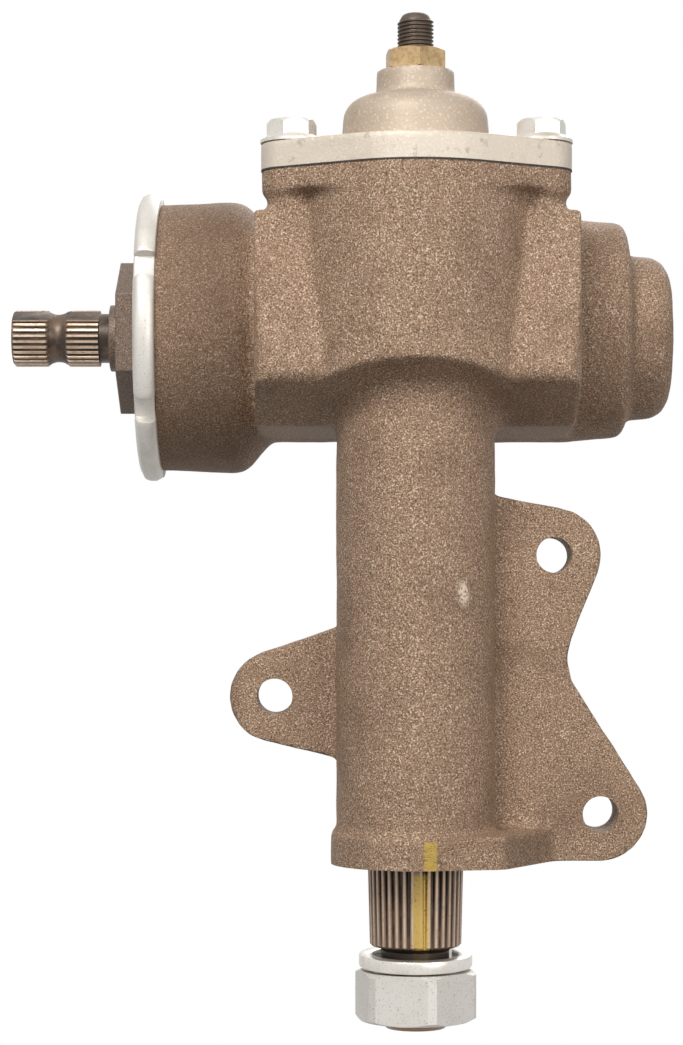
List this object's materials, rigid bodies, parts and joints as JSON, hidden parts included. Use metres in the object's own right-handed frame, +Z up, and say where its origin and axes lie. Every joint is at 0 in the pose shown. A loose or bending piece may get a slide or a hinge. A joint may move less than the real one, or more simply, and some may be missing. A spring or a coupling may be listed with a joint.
{
  "type": "steering gearbox",
  "caption": "Manual recirculating-ball steering gearbox: cast housing with mounting ears, bolted side cover with lash adjuster, splined input shaft and tapered pitman shaft.",
  "frame": {"origin": "on the pitman shaft axis at the lower face of the housing, where the spline comes out", "axes": "+Z up the pitman shaft to the side cover, -X out along the input shaft, +Y to the frame rail"},
  "size_m": [0.229, 0.1462, 0.3341],
  "materials": {
    "cast_iron": "sand cast, lightly rusted, oiled",
    "cast_aluminium": "sand cast, machined edge",
    "zinc_steel": "bright zinc plate",
    "yellow_zinc": "yellow zinc plate",
    "black_steel": "black oxide",
    "plug_steel": "phosphated",
    "shaft_steel": "ground and oiled",
    "gear_steel": "hardened and ground",
    "ball_steel": "polished",
    "sheet_steel": "pressed sheet",
    "bronze": "sintered bronze",
    "seal_rubber": "matt black",
    "gasket_paper": "dark fibre"
  },
  "bodies": {
    "housing": {"gear_housing": "cast_iron", "side_cover": "cast_aluminium", "side_cover_gasket": "gasket_paper", "cover_bolts": "zinc_steel", "side_cover_bushing": "bronze", "lash_adjuster_screw": "black_steel", "lash_lock_nut": "yellow_zinc", "lash_shim": "sheet_steel", "worm_bearing_adjuster": "plug_steel", "adjuster_lock_ring": "zinc_steel", "worm_seal": "seal_rubber", "upper_bearing_cup": "gear_steel", "lower_bearing_cup": "gear_steel", "pitman_bushings": "bronze", "pitman_seal": "seal_rubber"},
    "pitman": {"sector_shaft": "shaft_steel", "pitman_lock_washer": "zinc_steel", "pitman_nut": "zinc_steel"},
    "worm": {"worm_shaft": "shaft_steel"},
    "nut": {"ball_nut": "gear_steel", "recirculating_balls": "ball_steel", "ball_return_guides": "sheet_steel", "guide_clamp": "sheet_steel", "clamp_screws": "black_steel"},
    "upper_row": {"upper_bearing_balls": "ball_steel", "upper_ball_cage": "sheet_steel"},
    "lower_row": {"lower_bearing_balls": "ball_steel", "lower_ball_cage": "sheet_steel"}
  },
  "joints": [
    {"name": "pitman_turn", "type": "hinge", "parent": "housing", "child": "pitman", "pos_m": [0, 0, 0], "axis": [0, 0, 1], "range_deg": [-33, 33]},
    {"name": "worm_turn", "type": "hinge", "parent": "housing", "child": "worm", "pos_m": [0, 0.05579, 0.1785], "axis": [1, 0, 0], "range_deg": [-661, 661]},
    {"name": "nut_slide", "type": "slide", "parent": "housing", "child": "nut", "axis": [1, 0, 0], "range_m": [-0.0176, 0.0176]},
    {"name": "upper_row_turn", "type": "hinge", "parent": "housing", "child": "upper_row", "pos_m": [-0.069, 0.05579, 0.1785], "axis": [1, 0, 0], "range_deg": [-276, 276]},
    {"name": "lower_row_turn", "type": "hinge", "parent": "housing", "child": "lower_row", "pos_m": [0.077, 0.05579, 0.1785], "axis": [1, 0, 0], "range_deg": [-276, 276]}
  ],
  "couplings": [
    {"joint": "worm_turn", "follows": "pitman_turn", "ratio": 20},
    {"joint": "nut_slide", "follows": "pitman_turn", "m_per_rad": -0.030319},
    {"joint": "upper_row_turn", "follows": "pitman_turn", "ratio": 8.337},
    {"joint": "lower_row_turn", "follows": "pitman_turn", "ratio": 8.337}
  ]
}
